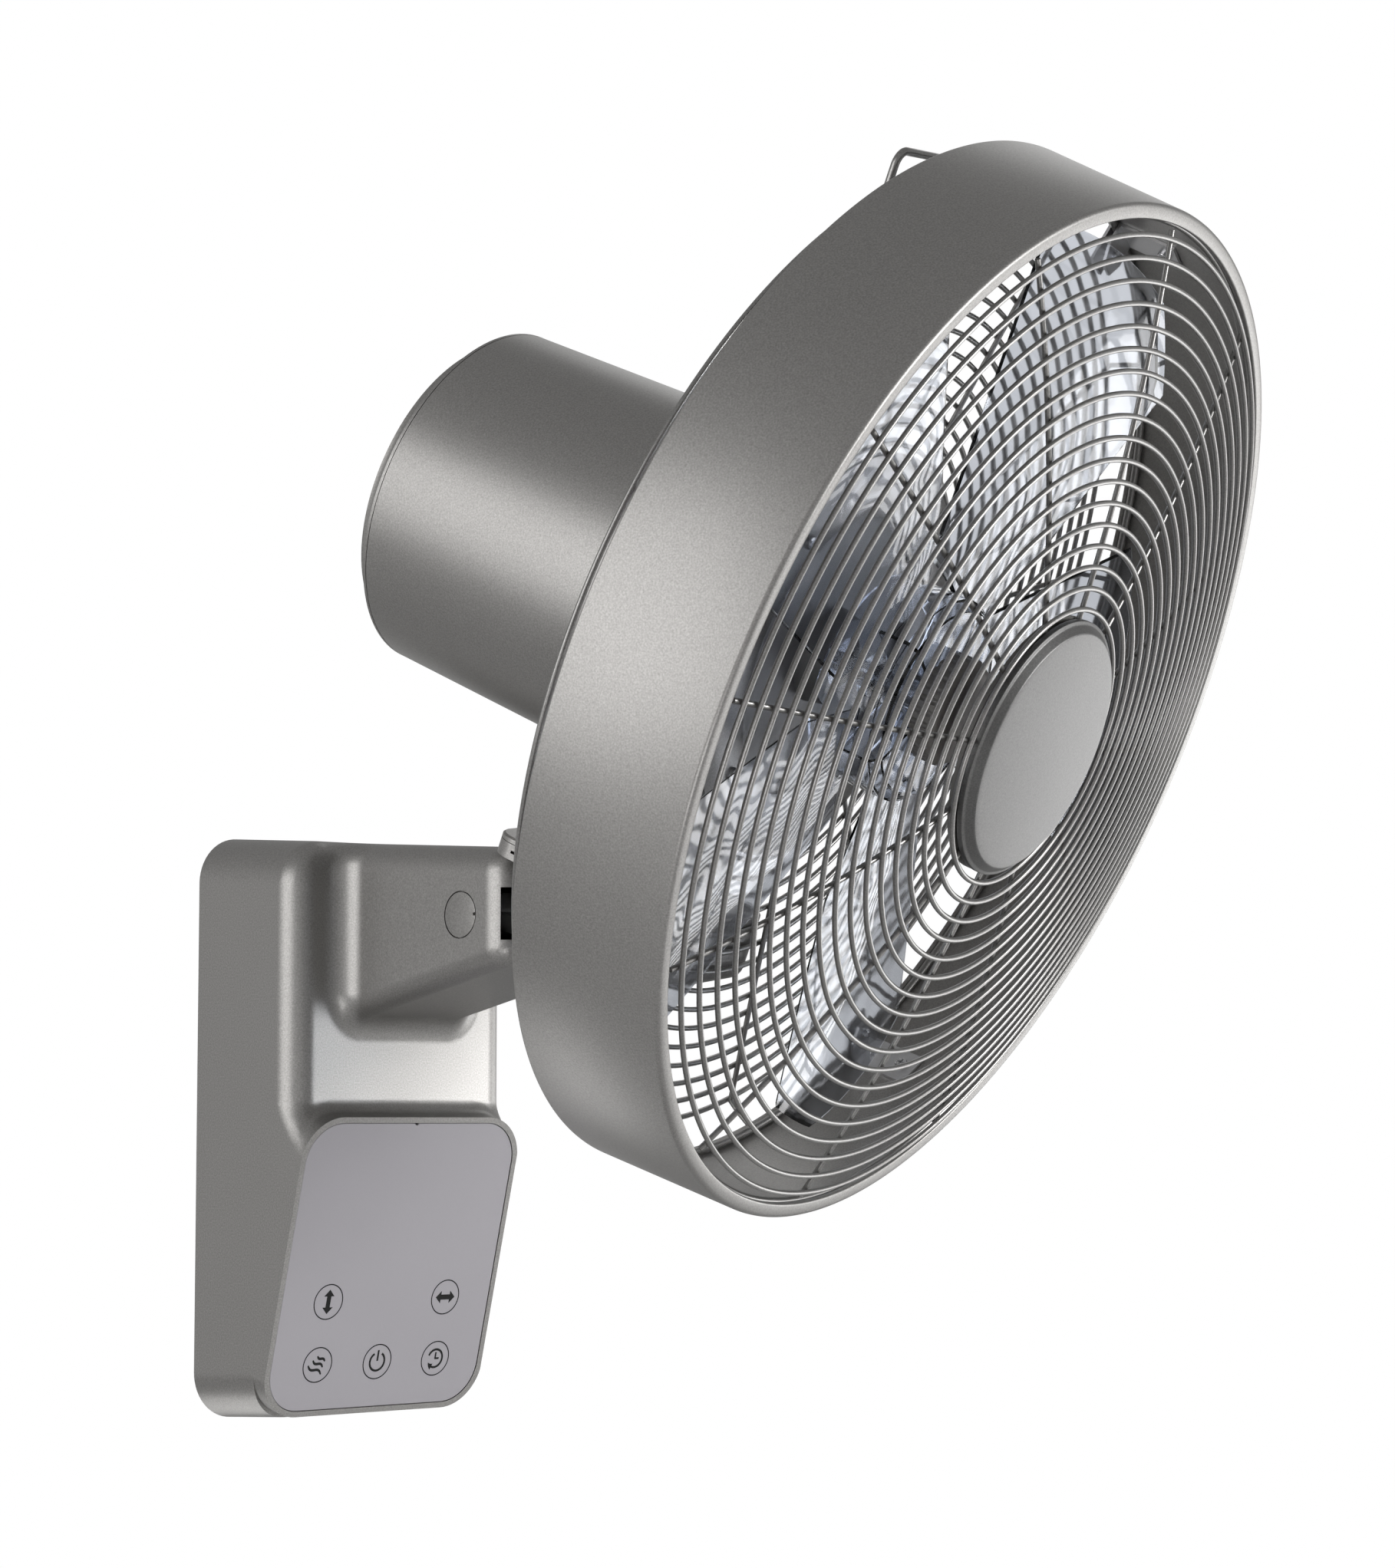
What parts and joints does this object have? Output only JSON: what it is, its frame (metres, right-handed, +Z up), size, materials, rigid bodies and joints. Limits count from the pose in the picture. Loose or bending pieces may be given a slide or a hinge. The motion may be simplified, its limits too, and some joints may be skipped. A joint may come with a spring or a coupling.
{
  "type": "wall mounted fan",
  "caption": "Wall mounted fan with a deep drum round clear blades, domed wire grilles, and a tilting and swinging neck on a slim wall bracket with a touch panel.",
  "frame": {"origin": "centre of the four wall holes, on the back face of the wall plate", "axes": "+X to the right as seen from the room, +Y into the wall, +Z up"},
  "size_m": [0.4197, 0.472, 0.4982],
  "materials": {
    "housing_paint": "satin warm grey metallic paint",
    "drum_paint": "satin warm grey metallic paint",
    "wire_coat": "satin light grey coated wire",
    "cap_trim": "satin grey moulded plastic",
    "hub_plate": "satin grey moulded plastic",
    "panel_face": "soft gloss touch panel",
    "zinc_steel": "zinc plated sheet steel",
    "screw_steel": "zinc plated screws",
    "turned_steel": "turned steel",
    "cast_alloy": "die cast alloy",
    "gear_nylon": "natural nylon",
    "motor_can": "drawn steel can",
    "core_steel": "laminated core steel",
    "copper": "enamelled copper wire",
    "board_green": "circuit board",
    "black_rubber": "moulded rubber",
    "clear_blade": "clear moulded plastic",
    "nut_grey": "satin grey moulded plastic"
  },
  "bodies": {
    "bracket": {"wall_plate": "zinc_steel", "cable_grommet": "black_rubber", "base_housing": "housing_paint", "housing_screws": "screw_steel", "control_panel": "panel_face", "control_board": "board_green", "power_board": "board_green", "board_screws": "screw_steel", "tilt_pin": "turned_steel", "pivot_caps": "cap_trim", "tilt_motor": "motor_can", "tilt_motor_screws": "screw_steel"},
    "tilt_drive": {"tilt_pinion": "gear_nylon"},
    "knuckle": {"tilt_knuckle": "cast_alloy", "pivot_washers": "gear_nylon", "swing_washer": "gear_nylon", "swing_gear": "gear_nylon", "swing_circlip": "turned_steel"},
    "head": {"swing_bush": "gear_nylon", "neck_block": "housing_paint", "neck_cover": "housing_paint", "neck_column": "housing_paint", "neck_screws": "screw_steel", "swing_motor": "motor_can", "swing_motor_screws": "screw_steel", "motor_housing": "housing_paint", "column_screws": "screw_steel", "motor_rear_cap": "housing_paint", "motor_front_plate": "cast_alloy", "motor_plate_screws": "screw_steel", "motor_rear_bell": "cast_alloy", "bell_screws": "screw_steel", "stator_core": "core_steel", "stator_coils": "copper", "motor_bearings": "turned_steel", "driver_board": "board_green", "driver_screws": "screw_steel", "drum_band": "drum_paint", "grille_hub": "hub_plate", "centre_cap": "cap_trim", "front_grille": "wire_coat", "rear_grille": "wire_coat", "rear_flange_screws": "screw_steel", "rear_bail": "wire_coat", "band_brackets": "zinc_steel", "grille_clips": "zinc_steel", "band_screws": "screw_steel"},
    "swing_drive": {"swing_pinion": "gear_nylon"},
    "fan": {"motor_shaft": "turned_steel", "rotor": "motor_can", "blade_set": "clear_blade", "spinner_nut": "nut_grey"}
  },
  "joints": [
    {"name": "tilt", "type": "hinge", "parent": "bracket", "child": "knuckle", "pos_m": [0, -0.1405, 0.086], "axis": [1, 0, 0], "range_deg": [-25, 1]},
    {"name": "swing", "type": "hinge", "parent": "knuckle", "child": "head", "pos_m": [0, -0.1945, 0.05984], "axis": [0, -0.436, 0.8999], "range_deg": [-56, 23.9]},
    {"name": "fan_spin", "type": "hinge", "parent": "head", "child": "fan", "pos_m": [0, -0.26388, 0.20304], "axis": [0.2767, -0.8648, -0.419], "continuous": true},
    {"name": "tilt_drive", "type": "hinge", "parent": "bracket", "child": "tilt_drive", "pos_m": [0, -0.1165, 0.086], "axis": [1, 0, 0], "range_deg": [-4, 79]},
    {"name": "swing_drive", "type": "hinge", "parent": "head", "child": "swing_drive", "pos_m": [0.00581, -0.21266, 0.05104], "axis": [0, -0.436, 0.8999], "range_deg": [-142, 61]}
  ],
  "couplings": [
    {"joint": "tilt_drive", "follows": "tilt", "ratio": -3},
    {"joint": "swing_drive", "follows": "swing", "ratio": 2.5}
  ]
}
